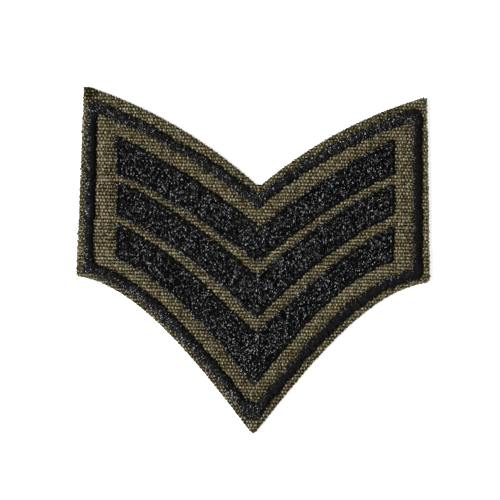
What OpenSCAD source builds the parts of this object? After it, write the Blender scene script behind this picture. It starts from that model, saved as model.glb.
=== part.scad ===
// Rank chevron patch: a canvas shield with its edge turned under, a satin border and three filled chevrons.
// It lies face up. X runs across the patch, Y from the point up to the notch, and Z out of the face.
// The origin is the middle of the patch's box, on the back of the turned-in hem. Sizes are in millimetres.

/* [Cloth outline] */
// Width across the two upper corners
top_width = 85.9; // [76:0.1:96]
// Width across the two lower corners
base_width = 88.5; // [78:0.1:98]
// Length of the straight side edges
side_height = 46.9; // [40:0.1:56]
// How far the notch lies below the upper corners
notch_depth = 24; // [16:0.5:28]
// How far the point hangs below the lower corners
point_depth = 38.9; // [32:0.1:46]
// How far the upper corners sit to the right of the lower ones
top_shift = -0.5; // [-2:0.1:2]
// How far the notch and the point sit to the right of the middle
apex_offset = 0.9; // [-2:0.1:2]
// How much of each cloth corner the fold takes off
corner_cut = 0.9; // [0.3:0.1:1.6]
// How much of each corner the chevrons' stitching rounds off
chevron_corner_cut = 0.7; // [0.3:0.1:1.6]
// How much of its bluntest corners the border rounds off
border_corner_cut = 3.2; // [1.6:0.1:3.4]

/* [Canvas] */
// Thickness of the canvas
canvas_thickness = 1; // [1:0.05:1.5]
// Air left between the face and the hem turned in behind it
fold_gap = 0.1; // [0.06:0.02:0.3]
// Width of the hem turned in behind the edge
hem_width = 8; // [5:0.5:11]

/* [Border] */
// Canvas showing outside the border along the two upper edges
upper_rim = 2; // [1.2:0.1:3]
// Canvas showing outside the border along the two sides
side_rim = 1.3; // [0.6:0.1:2.5]
// Canvas showing outside the border along the two lower edges
lower_rim = 1.25; // [0.6:0.05:2.5]
// Width of the satin border
border_width = 2.8; // [1.8:0.1:3.6]
// Height of the satin border's crown above the canvas
border_height = 0.9; // [0.5:0.05:1.4]

/* [Chevrons] */
// Canvas showing between the border and the top chevron
upper_margin = 3.3; // [2:0.1:4.5]
// Canvas showing between the border and the chevrons' ends
side_margin = 4.25; // [2.5:0.05:6]
// Canvas showing between the border and the bottom chevron
lower_margin = 3.15; // [2:0.05:4.5]
// Lean of the chevrons' ends, in degrees clockwise
end_lean = 1.2; // [-3:0.1:3]
// Height of the chevrons' filled stitching above the canvas
fill_height = 0.65; // [0.4:0.05:1.2]
// Width of the satin edging round each chevron
edging_width = 1; // [0.6:0.05:1.4]
// Height of the edging's crown above the canvas
edging_height = 0.8; // [0.4:0.05:1.3]

/* [Fit] */
// Clearance between stitching and whatever it lies on or beside
stitch_gap = 0.05; // [0.03:0.01:0.15]

/* [Hidden] */
// Colours as the photo shows them
canvas_colour = [0.34, 0.31, 0.23];
thread_colour = [0.14, 0.14, 0.135];

// Places in a row that follows an edge or a band across the patch, from its left end to its right end
LEFT_END = 0;
LEFT_HALF = 1;
CENTRE = 2;
RIGHT_HALF = 3;
RIGHT_END = 4;

// The two sides of the patch
LEFT = -1;
RIGHT = 1;

// Cloth edges: height above the notch or the point, as shares of notch_depth and point_depth
upper_edge_row = [1.02, 0.64, 0, 0.615, 0.985];
lower_edge_row = [0.995, 0.665, 0, 0.675, 1.005];
// How strongly each edge's bow leans towards its outer end
upper_bow_lean = -0.12;
lower_bow_lean = 0.31;

// Canvas shown outside and inside the border, as shares of the rim or margin that each row is named after
upper_rim_row = [1.15, 1.32, 0.65, 0.82, 0.9];
lower_rim_row = [0.95, 0.85, 1.05, 1.15, 0.72];
upper_margin_row = [1.04, 1.05, 0.98, 1.12, 0.8];
lower_margin_row = [0.88, 0.98, 1.03, 1.02, 0.95];
// Side rims, as shares of side_rim at the lower and at the upper corners
AT_LOWER_CORNER = 0;
AT_UPPER_CORNER = 1;
side_rim_row = [1.27, 0.73];

// How much the border rounds off along its outer and its inner line, as shares of border_corner_cut,
// at the upper left corner, the notch, the upper right, the lower right, the point and the lower left corner
outer_cut_row = [0.95, 0.3, 1, 0.25, 1, 0.2];
inner_cut_row = [0.45, 0.15, 0.45, 0.2, 1, 0.2];

// Chevrons, as shares of the way from the field's upper line down to its lower line
TOP_CHEVRON = 0;
MIDDLE_CHEVRON = 1;
BOTTOM_CHEVRON = 2;
UPPER_LINE = 0;
LOWER_LINE = 1;
chevron_rows = [
    [[0, 0, 0, 0, 0], [0.315, 0.285, 0.235, 0.27, 0.29]],
    [[0.37, 0.34, 0.31, 0.33, 0.365], [0.655, 0.625, 0.575, 0.625, 0.62]],
    [[0.7, 0.7, 0.66, 0.725, 0.7], [1, 1, 1, 1, 1]]
];

// Columns of a section, whose points are carried round an outline
INSET = 0;
HEIGHT = 1;

// Smoothness: segments along one arm, round a blunted corner, round the fold and over a crown of stitching
ARM_SEGMENTS = 12;
CORNER_SEGMENTS = 3;
FOLD_SEGMENTS = 8;
CROWN_SEGMENTS = 6;
// Step used to read the slope of a line, and passes that find where a line meets the side
SLOPE_STEP = 0.01;
CORNER_PASSES = 5;
// How full a crown of stitching is: 1 is a half ellipse, and less is flatter on top
CROWN_FULLNESS = 0.7;

// Heights: the lower corners lie at Y = 0 here, and the finished patch is moved so that its box is centred
notch_y = side_height - notch_depth;
point_y = -point_depth;
folded_thickness = 2 * canvas_thickness + fold_gap;
fold_radius = folded_thickness / 2;
stitch_base = folded_thickness + stitch_gap;

// X where a straight side edge runs, at height y
function side_edge(side, y) =
    let (
        lower_x = side * base_width / 2,
        upper_x = top_shift + side * top_width / 2
    )
    lower_x + (upper_x - lower_x) * y / side_height;

function side_of(x) = x < apex_offset ? LEFT : RIGHT;

// Value of a row at x, where the row's ends lie at left_x and right_x and its centre at the notch and point
function row_at(row, x, left_x, right_x, lean = 0) =
    let (
        on_left = side_of(x) == LEFT,
        centre = row[CENTRE],
        half = row[on_left ? LEFT_HALF : RIGHT_HALF],
        end = row[on_left ? LEFT_END : RIGHT_END],
        t = (x - apex_offset) / ((on_left ? left_x : right_x) - apex_offset),
        bow = 4 * (half - (centre + end) / 2)
    )
    centre + (end - centre) * t + bow * t * (1 - t) * (1 + lean * (2 * t - 1));

function upper_row(row, x, lean = 0) =
    row_at(row, x, side_edge(LEFT, side_height), side_edge(RIGHT, side_height), lean);
function lower_row(row, x, lean = 0) = row_at(row, x, side_edge(LEFT, 0), side_edge(RIGHT, 0), lean);

// Height of the cloth's two edges at x
function upper_edge(x) = notch_y + notch_depth * upper_row(upper_edge_row, x, upper_bow_lean);
function lower_edge(x) = point_y + point_depth * lower_row(lower_edge_row, x, lower_bow_lean);

// Vertical distance at x that keeps a parallel line a distance of 1 from the line
function per_unit(line, x) =
    let (
        step = SLOPE_STEP * side_of(x),
        slope = (line(x + step) - line(x)) / step
    )
    sqrt(1 + slope * slope);

// Lines that run a given depth inside the upper and lower edges, measured square to the edge
function below_upper_edge(x, depth) = upper_edge(x) - depth * per_unit(function (u) upper_edge(u), x);
function above_lower_edge(x, depth) = lower_edge(x) + depth * per_unit(function (u) lower_edge(u), x);

// Depth of the border's outer line inside each edge
function upper_rim_at(x) = upper_rim * upper_row(upper_rim_row, x);
function lower_rim_at(x) = lower_rim * lower_row(lower_rim_row, x);
function side_rim_at(y) =
    let (
        lower = side_rim_row[AT_LOWER_CORNER],
        upper = side_rim_row[AT_UPPER_CORNER]
    )
    side_rim * (lower + (upper - lower) * y / side_height);

// X of the border's side, inset from its outer line
function border_side(side, y, inset) = side_edge(side, y) - side * (side_rim_at(y) + inset);

// X of a chevron's end, which leans about the middle of the straight sides
function chevron_end(side, y, inset) =
    let (middle = side_height / 2)
    border_side(side, middle, border_width + side_margin + inset) + (middle - y) * tan(end_lean);

// Value of a row that spans the chevrons, from one chevron end to the other
function field_row(row, x) =
    row_at(row, x, chevron_end(LEFT, side_height / 2, 0), chevron_end(RIGHT, side_height / 2, 0));

// The field that the chevrons share: the lines of the top chevron's upper and the bottom chevron's lower edge
function field_top(x) =
    below_upper_edge(x, upper_rim_at(x) + border_width + upper_margin * field_row(upper_margin_row, x));
function field_bottom(x) =
    above_lower_edge(x, lower_rim_at(x) + border_width + lower_margin * field_row(lower_margin_row, x));
function field_line(row, x) = field_top(x) + (field_bottom(x) - field_top(x)) * field_row(row, x);

// X where a line meets a side, found in a few passes from a first guess
function meeting_x(line, side_line, side, x, passes = CORNER_PASSES) =
    passes == 0 ? x : meeting_x(line, side_line, side, side_line(side, line(x)), passes - 1);

// Evenly spread values that end exactly at to, because a line's slope differs on the two sides of the centre
function spread(from, to, segments) =
    [
        for (i = [0:segments])
            let (t = i / segments)
            from * (1 - t) + to * t
    ];

function rest(list) = [for (i = [1:len(list) - 1]) list[i]];

// An outline's points run clockwise: the two upper arms, then the two lower arms, with a corner at each end
CORNERS_PER_SIDE = 3;
function is_corner(i) = (i % (2 * ARM_SEGMENTS + 1)) % ARM_SEGMENTS == 0;
function corner_at(i) =
    let (
        lower = i > 2 * ARM_SEGMENTS,
        along = i % (2 * ARM_SEGMENTS + 1)
    )
    along / ARM_SEGMENTS + (lower ? CORNERS_PER_SIDE : 0);

// Curve that replaces a sharp corner, starting and ending a distance of cut from it
function corner_curve(before, corner, after, cut) =
    let (
        start = corner + cut * (before - corner) / norm(before - corner),
        end = corner + cut * (after - corner) / norm(after - corner)
    )
    [
        for (t = spread(0, 1, CORNER_SEGMENTS))
            (1 - t) * (1 - t) * start + 2 * t * (1 - t) * corner + t * t * end
    ];

// Outline with its six corners rounded off, each by its own cut
function blunted(points, cuts) =
    let (count = len(points))
    [
        for (i = [0:count - 1])
            each is_corner(i)
                ? corner_curve(
                    points[(i + count - 1) % count],
                    points[i],
                    points[(i + 1) % count],
                    cuts[corner_at(i)]
                )
                : [points[i]]
    ];

// The same cut at every corner
function even_cuts(cut) = [for (i = [1:2 * CORNERS_PER_SIDE]) cut];

// Outline between an upper line, a lower line and the two sides
function outline(upper_line, lower_line, side_line) =
    let (
        upper_left = meeting_x(upper_line, side_line, LEFT, side_line(LEFT, side_height)),
        upper_right = meeting_x(upper_line, side_line, RIGHT, side_line(RIGHT, side_height)),
        lower_right = meeting_x(lower_line, side_line, RIGHT, side_line(RIGHT, 0)),
        lower_left = meeting_x(lower_line, side_line, LEFT, side_line(LEFT, 0))
    )
    concat(
        [for (x = spread(upper_left, apex_offset, ARM_SEGMENTS)) [x, upper_line(x)]],
        [for (x = rest(spread(apex_offset, upper_right, ARM_SEGMENTS))) [x, upper_line(x)]],
        [for (x = spread(lower_right, apex_offset, ARM_SEGMENTS)) [x, lower_line(x)]],
        [for (x = rest(spread(apex_offset, lower_left, ARM_SEGMENTS))) [x, lower_line(x)]]
    );

// Outlines of the pieces at a given inset
function cloth_outline(inset) =
    blunted(
        outline(
            function (x) below_upper_edge(x, inset),
            function (x) above_lower_edge(x, inset),
            function (side, y) side_edge(side, y) - side * inset
        ),
        even_cuts(corner_cut)
    );

function border_outline(inset) =
    blunted(
        outline(
            function (x) below_upper_edge(x, upper_rim_at(x) + inset),
            function (x) above_lower_edge(x, lower_rim_at(x) + inset),
            function (side, y) border_side(side, y, inset)
        ),
        border_corner_cut * (outer_cut_row + (inner_cut_row - outer_cut_row) * inset / border_width)
    );

function chevron_outline(chevron, inset) =
    let (
        upper = function (x) field_line(chevron_rows[chevron][UPPER_LINE], x),
        lower = function (x) field_line(chevron_rows[chevron][LOWER_LINE], x)
    )
    blunted(
        outline(
            function (x) upper(x) - inset * per_unit(upper, x),
            function (x) lower(x) + inset * per_unit(lower, x),
            function (side, y) chevron_end(side, y, inset)
        ),
        even_cuts(chevron_corner_cut)
    );

// The finished patch is moved so that the middle of its box is the origin
cloth_edge = cloth_outline(0);
cloth_xs = [for (p = cloth_edge) p.x];
cloth_ys = [for (p = cloth_edge) p.y];
box_middle = [(min(cloth_xs) + max(cloth_xs)) / 2, (min(cloth_ys) + max(cloth_ys)) / 2];

module centred() {
    translate([-box_middle.x, -box_middle.y, 0])
        children();
}

function raised(points, height) = [for (p = points) [p.x, p.y, height]];

// Triangles of the four-sided face a, b, c, d
function halves(a, b, c, d) = [[a, b, c], [a, c, d]];

// Cap across a loop that starts at the given index: rungs join each upper point to the lower point beneath it
function cap(start, count) =
    [
        for (i = [0:count / 2 - 2])
            each halves(start + i, start + i + 1, start + count - 2 - i, start + count - 1 - i)
    ];

function reversed(faces) = [for (f = faces) [f[2], f[1], f[0]]];

// Solid whose skin runs over loops of points, from the first loop outwards and down.
// A closed skin comes back to its first loop. An open one is capped at its first and last loops.
module skin(loops, closed) {
    loop_count = len(loops);
    point_count = len(loops[0]);
    sides = [
        for (j = [0:loop_count - (closed ? 1 : 2)], i = [0:point_count - 1])
            let (
                here = j * point_count,
                under = (j + 1) % loop_count * point_count,
                next = (i + 1) % point_count
            )
            each halves(here + i, under + i, under + next, here + next)
    ];
    caps = concat(cap(0, point_count), reversed(cap((loop_count - 1) * point_count, point_count)));
    polyhedron([for (loop = loops) each loop], closed ? sides : concat(sides, caps));
}

// Section of raised stitching, from its inner foot over the crown to its outer foot
function crown(width, height) =
    [
        for (a = spread(0, 180, CROWN_SEGMENTS))
            [width * (1 + cos(a)) / 2, stitch_base + height * pow(sin(a), CROWN_FULLNESS)]
    ];

// Section of the folded cloth, round the fold, along the hem and into the slot behind the hem
function fold_section() =
    concat(
        [for (a = spread(90, -90, FOLD_SEGMENTS)) [fold_radius * (1 - cos(a)), fold_radius * (1 + sin(a))]],
        [
            [hem_width, 0],
            [hem_width, canvas_thickness],
            [canvas_thickness, canvas_thickness],
            [canvas_thickness, canvas_thickness + fold_gap]
        ]
    );

module ground_cloth() {
    color(canvas_colour)
        centred()
            skin(
                [for (s = fold_section()) raised(cloth_outline(s[INSET]), s[HEIGHT])],
                closed = false
            );
}

module border_stitching() {
    color(thread_colour)
        centred()
            skin(
                [
                    for (s = crown(border_width, border_height))
                        raised(border_outline(s[INSET]), s[HEIGHT])
                ],
                closed = true
            );
}

module chevron_fill(chevron) {
    color(thread_colour)
        centred()
            translate([0, 0, stitch_base])
                linear_extrude(fill_height)
                    polygon(chevron_outline(chevron, edging_width + stitch_gap));
}

module chevron_edging(chevron) {
    color(thread_colour)
        centred()
            skin(
                [
                    for (s = crown(edging_width, edging_height))
                        raised(chevron_outline(chevron, s[INSET]), s[HEIGHT])
                ],
                closed = true
            );
}

ground_cloth();
border_stitching();
chevron_fill(TOP_CHEVRON);  // top_chevron
chevron_fill(MIDDLE_CHEVRON);  // middle_chevron
chevron_fill(BOTTOM_CHEVRON);  // bottom_chevron
chevron_edging(TOP_CHEVRON);  // top_chevron_edging
chevron_edging(MIDDLE_CHEVRON);  // middle_chevron_edging
chevron_edging(BOTTOM_CHEVRON);  // bottom_chevron_edging
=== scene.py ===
# Rank chevron patch, lying face up: olive canvas with its edge turned under, with black machine embroidery
# Lengths are in millimetres until a mesh is made, and X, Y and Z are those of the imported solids.
import math
import bpy
import numpy as np
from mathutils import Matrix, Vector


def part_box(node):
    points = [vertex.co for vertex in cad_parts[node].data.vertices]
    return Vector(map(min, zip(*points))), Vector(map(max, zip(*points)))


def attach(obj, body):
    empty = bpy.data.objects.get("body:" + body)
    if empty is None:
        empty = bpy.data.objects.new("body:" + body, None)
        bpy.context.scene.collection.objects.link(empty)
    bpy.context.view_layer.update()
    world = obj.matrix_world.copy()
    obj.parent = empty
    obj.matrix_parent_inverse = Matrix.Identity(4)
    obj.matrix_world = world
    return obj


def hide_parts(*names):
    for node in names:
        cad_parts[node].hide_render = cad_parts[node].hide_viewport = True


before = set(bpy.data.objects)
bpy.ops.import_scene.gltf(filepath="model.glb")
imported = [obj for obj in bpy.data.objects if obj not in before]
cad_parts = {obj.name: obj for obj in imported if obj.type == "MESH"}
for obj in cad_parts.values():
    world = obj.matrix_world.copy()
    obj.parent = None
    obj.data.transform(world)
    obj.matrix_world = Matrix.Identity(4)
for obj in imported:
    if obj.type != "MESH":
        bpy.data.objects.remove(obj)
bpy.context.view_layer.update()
mm = 0.001
print("frame loaded:", len(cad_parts), "solids")

# The patch's own shape, as the solids have it
patchShape = {
    "topWidth": 85.9,
    "baseWidth": 88.5,
    "sideHeight": 46.9,
    "notchDepth": 24.0,
    "pointDepth": 38.9,
    "topShift": -0.5,
    "apexOffset": 0.9,
    "clothCornerCut": 0.9,
    "chevronCornerCut": 0.7,
    "borderCornerCut": 3.2,
    "upperRim": 2.0,
    "sideRim": 1.3,
    "lowerRim": 1.25,
    "borderWidth": 2.8,
    "upperMargin": 3.3,
    "sideMargin": 4.25,
    "lowerMargin": 3.15,
    "endLean": 1.2,
    "edgingWidth": 1.0,
}
# How each line varies across the patch: left end, left half, centre, right half, right end
lineRows = {
    "upperEdge": [1.02, 0.64, 0, 0.615, 0.985],
    "lowerEdge": [0.995, 0.665, 0, 0.675, 1.005],
    "upperRim": [1.15, 1.32, 0.65, 0.82, 0.9],
    "lowerRim": [0.95, 0.85, 1.05, 1.15, 0.72],
    "upperMargin": [1.04, 1.05, 0.98, 1.12, 0.8],
    "lowerMargin": [0.88, 0.98, 1.03, 1.02, 0.95],
    "topChevron": [[0, 0, 0, 0, 0], [0.315, 0.285, 0.235, 0.27, 0.29]],
    "middleChevron": [[0.37, 0.34, 0.31, 0.33, 0.365], [0.655, 0.625, 0.575, 0.625, 0.62]],
    "bottomChevron": [[0.7, 0.7, 0.66, 0.725, 0.7], [1, 1, 1, 1, 1]],
}
bowLean = {"upper": -0.12, "lower": 0.31}
sideRimAtCorners = {"lower": 1.27, "upper": 0.73}
# How blunt each corner is: upper left, notch, upper right, lower right, point, lower left
cutShares = {
    "cloth": [1.0, 1.0, 1.0, 1.0, 1.0, 0.45],
    "borderOuter": [0.95, 0.3, 1.0, 0.25, 1.0, 0.2],
    "borderInner": [0.45, 0.15, 0.45, 0.2, 1.0, 0.2],
    "chevron": [0.5, 1.0, 0.25, 0.9, 1.0, 0.7],
}
# The stitches at the chevrons' short ends start this far inside the plain outline
endTuck = {"left": 0.45, "right": 0.3}
# How finely the lines are worked out
armSegments = {"plain": 12, "clothLoop": 24}
cornerSegments = {"cloth": 3, "border": 8, "chevron": 6}
slopeStep = 0.01
cornerPasses = 6

apexX = patchShape["apexOffset"]
sideTop = patchShape["sideHeight"]
notchY = sideTop - patchShape["notchDepth"]
pointY = -patchShape["pointDepth"]


def sideEdge(side, y):
    lower = side * patchShape["baseWidth"] / 2
    upper = patchShape["topShift"] + side * patchShape["topWidth"] / 2
    return lower + (upper - lower) * y / sideTop


def rowAt(row, x, leftX, rightX, lean=0.0):
    # a row read at x: one bowed stretch runs from the middle to each end
    leftEnd, leftHalf, centre, rightHalf, rightEnd = row
    onLeft = x < apexX
    half = np.where(onLeft, leftHalf, rightHalf)
    end = np.where(onLeft, leftEnd, rightEnd)
    t = (x - apexX) / (np.where(onLeft, leftX, rightX) - apexX)
    bow = 4 * (half - (centre + end) / 2)
    return centre + (end - centre) * t + bow * t * (1 - t) * (1 + lean * (2 * t - 1))


def upperRow(name, x, lean=0.0):
    return rowAt(lineRows[name], x, sideEdge(-1, sideTop), sideEdge(1, sideTop), lean)


def lowerRow(name, x, lean=0.0):
    return rowAt(lineRows[name], x, sideEdge(-1, 0), sideEdge(1, 0), lean)


def upperEdge(x):
    return notchY + patchShape["notchDepth"] * upperRow("upperEdge", x, bowLean["upper"])


def lowerEdge(x):
    return pointY + patchShape["pointDepth"] * lowerRow("lowerEdge", x, bowLean["lower"])


def perUnit(line, x):
    # vertical distance that keeps a parallel line a distance of 1 away
    step = np.where(x < apexX, -slopeStep, slopeStep)
    slope = (line(x + step) - line(x)) / step
    return np.sqrt(1 + slope * slope)


def belowUpperEdge(x, depth):
    return upperEdge(x) - depth * perUnit(upperEdge, x)


def aboveLowerEdge(x, depth):
    return lowerEdge(x) + depth * perUnit(lowerEdge, x)


def upperRimAt(x):
    return patchShape["upperRim"] * upperRow("upperRim", x)


def lowerRimAt(x):
    return patchShape["lowerRim"] * lowerRow("lowerRim", x)


def sideRimAt(y):
    lower, upper = sideRimAtCorners["lower"], sideRimAtCorners["upper"]
    return patchShape["sideRim"] * (lower + (upper - lower) * y / sideTop)


def borderSide(side, y, inset):
    return sideEdge(side, y) - side * (sideRimAt(y) + inset)


def chevronEnd(side, y, inset):
    middle = sideTop / 2
    lean = math.tan(math.radians(patchShape["endLean"]))
    toEnd = patchShape["borderWidth"] + patchShape["sideMargin"] + inset
    return borderSide(side, middle, toEnd) + (middle - y) * lean


def fieldRow(row, x):
    return rowAt(row, x, chevronEnd(-1, sideTop / 2, 0), chevronEnd(1, sideTop / 2, 0))


def fieldLine(row, x):
    # a line across the field inside the border, as shares of the way from its upper line to its lower one
    border = patchShape["borderWidth"]
    upperMargin = patchShape["upperMargin"] * fieldRow(lineRows["upperMargin"], x)
    lowerMargin = patchShape["lowerMargin"] * fieldRow(lineRows["lowerMargin"], x)
    top = belowUpperEdge(x, upperRimAt(x) + border + upperMargin)
    bottom = aboveLowerEdge(x, lowerRimAt(x) + border + lowerMargin)
    return top + (bottom - top) * fieldRow(row, x)


def fourArms(upperLine, lowerLine, sideLine, segments=armSegments["plain"]):
    # the outline's two upper and two lower arms, clockwise from the upper left corner
    def meet(line, side, x):
        for _ in range(cornerPasses):
            x = float(sideLine(side, line(np.array([x]))[0]))
        return x

    upperLeft = meet(upperLine, -1, sideLine(-1, sideTop))
    upperRight = meet(upperLine, 1, sideLine(1, sideTop))
    lowerRight = meet(lowerLine, 1, sideLine(1, 0))
    lowerLeft = meet(lowerLine, -1, sideLine(-1, 0))
    t = np.linspace(0, 1, segments + 1)
    arms = []
    for start, end, line in (
        (upperLeft, apexX, upperLine),
        (apexX, upperRight, upperLine),
        (lowerRight, apexX, lowerLine),
        (apexX, lowerLeft, lowerLine),
    ):
        x = start * (1 - t) + end * t
        arms.append(np.stack([x, line(x)], 1))
    return arms


def clothArms(inset, segments):
    return fourArms(
        lambda x: belowUpperEdge(x, inset),
        lambda x: aboveLowerEdge(x, inset),
        lambda side, y: sideEdge(side, y) - side * inset,
        segments,
    )


def borderArms(inset):
    return fourArms(
        lambda x: belowUpperEdge(x, upperRimAt(x) + inset),
        lambda x: aboveLowerEdge(x, lowerRimAt(x) + inset),
        lambda side, y: borderSide(side, y, inset),
    )


def chevronArms(name, inset):
    def upper(x):
        return fieldLine(lineRows[name][0], x)

    def lower(x):
        return fieldLine(lineRows[name][1], x)

    return fourArms(
        lambda x: upper(x) - inset * perUnit(upper, x),
        lambda x: lower(x) + inset * perUnit(lower, x),
        lambda side, y: chevronEnd(side, y, inset + endTuck["left" if side < 0 else "right"]),
    )


def roundedLoop(arms, cuts, segments):
    # joins the arms into one loop and rounds its six corners off; also says which points belong to a corner
    points = np.vstack([arms[0], arms[1][1:], arms[2], arms[3][1:]])
    n = len(arms[0]) - 1
    corners = [0, n, 2 * n, 2 * n + 1, 3 * n + 1, 4 * n + 1]
    cuts = np.broadcast_to(cuts, len(corners))
    loop, atCorner = [], []
    for i, point in enumerate(points):
        if i not in corners:
            loop.append(point)
            atCorner.append(False)
            continue
        cut = cuts[corners.index(i)]
        before, after = points[i - 1], points[(i + 1) % len(points)]
        start = point + cut * (before - point) / np.linalg.norm(before - point)
        end = point + cut * (after - point) / np.linalg.norm(after - point)
        for t in np.linspace(0, 1, segments + 1):
            loop.append((1 - t) ** 2 * start + 2 * t * (1 - t) * point + t * t * end)
            atCorner.append(True)
    return np.array(loop), np.array(atCorner)


def clothOutline(inset, segments=armSegments["plain"], shares=cutShares["cloth"]):
    cuts = patchShape["clothCornerCut"] * np.array(shares)
    return roundedLoop(clothArms(inset, segments), cuts, cornerSegments["cloth"])


def borderOutline(inset):
    share = inset / patchShape["borderWidth"]
    cuts = np.array(cutShares["borderOuter"]) * (1 - share) + np.array(cutShares["borderInner"]) * share
    return roundedLoop(borderArms(inset), patchShape["borderCornerCut"] * cuts, cornerSegments["border"])[0]


def chevronOutline(name, inset):
    cuts = patchShape["chevronCornerCut"] * np.array(cutShares["chevron"])
    return roundedLoop(chevronArms(name, inset), cuts, cornerSegments["chevron"])[0]


# The patch is moved so that the middle of its box is the origin, as the solids are
boxLoop = clothOutline(0.0, shares=1.0)[0]
boxMiddle = (boxLoop.min(0) + boxLoop.max(0)) / 2
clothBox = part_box("ground_cloth")
solidSides = [round((high - low) / mm, 2) for low, high in zip(*clothBox)]
print("outline drawn:", np.round(np.ptp(boxLoop, axis=0), 2), "mm, and its solid:", solidSides, "mm")


def nearestOnLoop(points, loop):
    # signed distance to a loop (positive inside), the nearest point on it, and the index of that stretch
    n = len(loop)
    best = np.full(len(points), np.inf)
    foot = np.zeros_like(points)
    stretch = np.zeros(len(points), int)
    inside = np.zeros(len(points), bool)
    px, py = points[:, 0], points[:, 1]
    for i in range(n):
        ax, ay = loop[i]
        bx, by = loop[(i + 1) % n]
        dx, dy = bx - ax, by - ay
        t = np.clip(((px - ax) * dx + (py - ay) * dy) / (dx * dx + dy * dy), 0, 1)
        qx, qy = ax + t * dx, ay + t * dy
        away = (px - qx) ** 2 + (py - qy) ** 2
        closer = away < best
        best[closer] = away[closer]
        foot[closer, 0], foot[closer, 1] = qx[closer], qy[closer]
        stretch[closer] = i
        if ay != by:
            crosses = (ay > py) != (by > py)
            inside ^= crosses & (px < ax + (py - ay) * dx / dy)
    return np.where(inside, 1, -1) * np.sqrt(best), foot, stretch


# Heights of the cloth and what is sewn on it
layers = {
    "faceTop": 2.1,
    "foldRadius": 1.05,
    "canvas": 1.0,
    "foldGap": 0.1,
    "hemWidth": 8.0,
    "stitchFoot": 2.02,
    "fillFoot": 2.15,
}
chevronNames = ["topChevron", "middleChevron", "bottomChevron"]
clothLoop, clothCorners = clothOutline(0.0, armSegments["clothLoop"])
clothLoop = clothLoop - boxMiddle
borderLines = [borderOutline(inset) - boxMiddle for inset in (0.0, patchShape["borderWidth"])]
edgingLines = [
    [chevronOutline(name, inset) - boxMiddle for inset in (0.0, patchShape["edgingWidth"])]
    for name in chevronNames
]

# Distances kept on a grid, so that every yarn can ask how near the edge and the stitching are
fieldGrid = {"step": 0.25, "halfWidth": 49.0, "halfHeight": 47.5}


def gridLine(half):
    return np.arange(-half, half + fieldGrid["step"] / 2, fieldGrid["step"])


gridX, gridY = gridLine(fieldGrid["halfWidth"]), gridLine(fieldGrid["halfHeight"])
gridPoints = np.stack(np.meshgrid(gridX, gridY, indexing="ij"), -1).reshape(-1, 2)


def gridDistance(loop):
    return nearestOnLoop(gridPoints, loop)[0].reshape(len(gridX), len(gridY))


clothField = gridDistance(clothLoop)
borderField = np.minimum(gridDistance(borderLines[0]), -gridDistance(borderLines[1]))
chevronFields = [gridDistance(outer) for outer, inner in edgingLines]
stitchedField = np.maximum.reduce([borderField] + chevronFields)
print("distance grids made:", gridPoints.shape[0], "points")


def lookUp(field, points):
    # reads a grid between its points, and just inside its edge where a point lies outside it
    u = np.clip((points[..., 0] - gridX[0]) / fieldGrid["step"], 0, len(gridX) - 1.001)
    v = np.clip((points[..., 1] - gridY[0]) / fieldGrid["step"], 0, len(gridY) - 1.001)
    i, j = u.astype(int), v.astype(int)
    fu, fv = u - i, v - j
    low = field[i, j] * (1 - fu) + field[i + 1, j] * fu
    high = field[i, j + 1] * (1 - fu) + field[i + 1, j + 1] * fu
    return low * (1 - fv) + high * fv


# How the cloth lies: puffed between rows of stitching, pulled down beside them, and gently uneven
clothSurface = {
    "puff": 0.42,
    "puffReach": 0.65,
    "underStitches": 0.34,
    "unevenness": 0.05,
    "waves": [
        # across, along, turn, share
        [0.11, 0.07, 0.3, 0.35],
        [0.19, -0.13, 1.9, 0.25],
        [-0.31, 0.23, 4.1, 0.2],
        [0.47, 0.41, 2.7, 0.2],
    ],
}


def slowWaves(points):
    total = 0
    for across, along, turn, share in clothSurface["waves"]:
        total = total + share * np.sin(across * points[..., 0] + along * points[..., 1] + turn)
    return total


def clothLift(points):
    clear = -lookUp(stitchedField, points)
    puff = clothSurface["puff"] * (1 - np.exp(-np.maximum(clear, 0) / clothSurface["puffReach"]))
    return puff - clothSurface["underStitches"] + clothSurface["unevenness"] * slowWaves(points)


# The turned edge: how far in from it points are worked out exactly, the least height above the floor,
# and how far a yarn may pass a mitred corner
turnedEdge = {"nearness": 0.3, "leastLevel": 0.02, "sunkLevel": 0.1, "mitreSlack": 0.2, "cornerSlack": 0.35}


def foldedPoints(points, height):
    # carries points of the flat cloth round its folded edge; height is measured square to the surface
    radius = layers["foldRadius"]
    depth = lookUp(clothField, points)
    out = np.concatenate([points, (layers["faceTop"] + height + clothLift(points))[..., None]], -1)
    good = np.ones(depth.shape, bool)
    near = depth < radius + turnedEdge["nearness"]
    flat = points[near]
    exact, foot, stretch = nearestOnLoop(flat, clothLoop)
    inward = (flat - foot) / np.where(np.abs(exact) < 1e-6, 1e-6, exact)[:, None]
    run = radius - exact
    turned = run > 0
    turn = np.clip(run / radius, 0, math.pi)
    past = np.maximum(run - math.pi * radius, 0)
    inset = np.where(turned, radius * (1 - np.sin(turn)) + past, exact)
    fade = np.clip(1 - turn / (math.pi / 2), 0, 1)
    lift = height[near] + fade * clothLift(flat)
    plan = foot + inward * (inset - lift * np.sin(turn))[:, None]
    level = layers["faceTop"] - radius + radius * np.cos(turn) + lift * np.cos(turn)
    level = np.maximum(level, turnedEdge["leastLevel"] + turnedEdge["sunkLevel"] * np.maximum(-lift, 0))
    out[near] = np.concatenate([plan, level[:, None]], 1)
    # what lies beyond a mitred corner is cut away
    ownDepth = nearestOnLoop(foot + inward * inset[:, None], clothLoop)[0]
    pastMitre = ownDepth < inset - turnedEdge["mitreSlack"]
    atCorner = clothCorners[stretch] & clothCorners[(stretch + 1) % len(clothLoop)]
    good[near] = ~(turned & (pastMitre | (atCorner & (exact < -turnedEdge["cornerSlack"]))))
    return out, good


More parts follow.
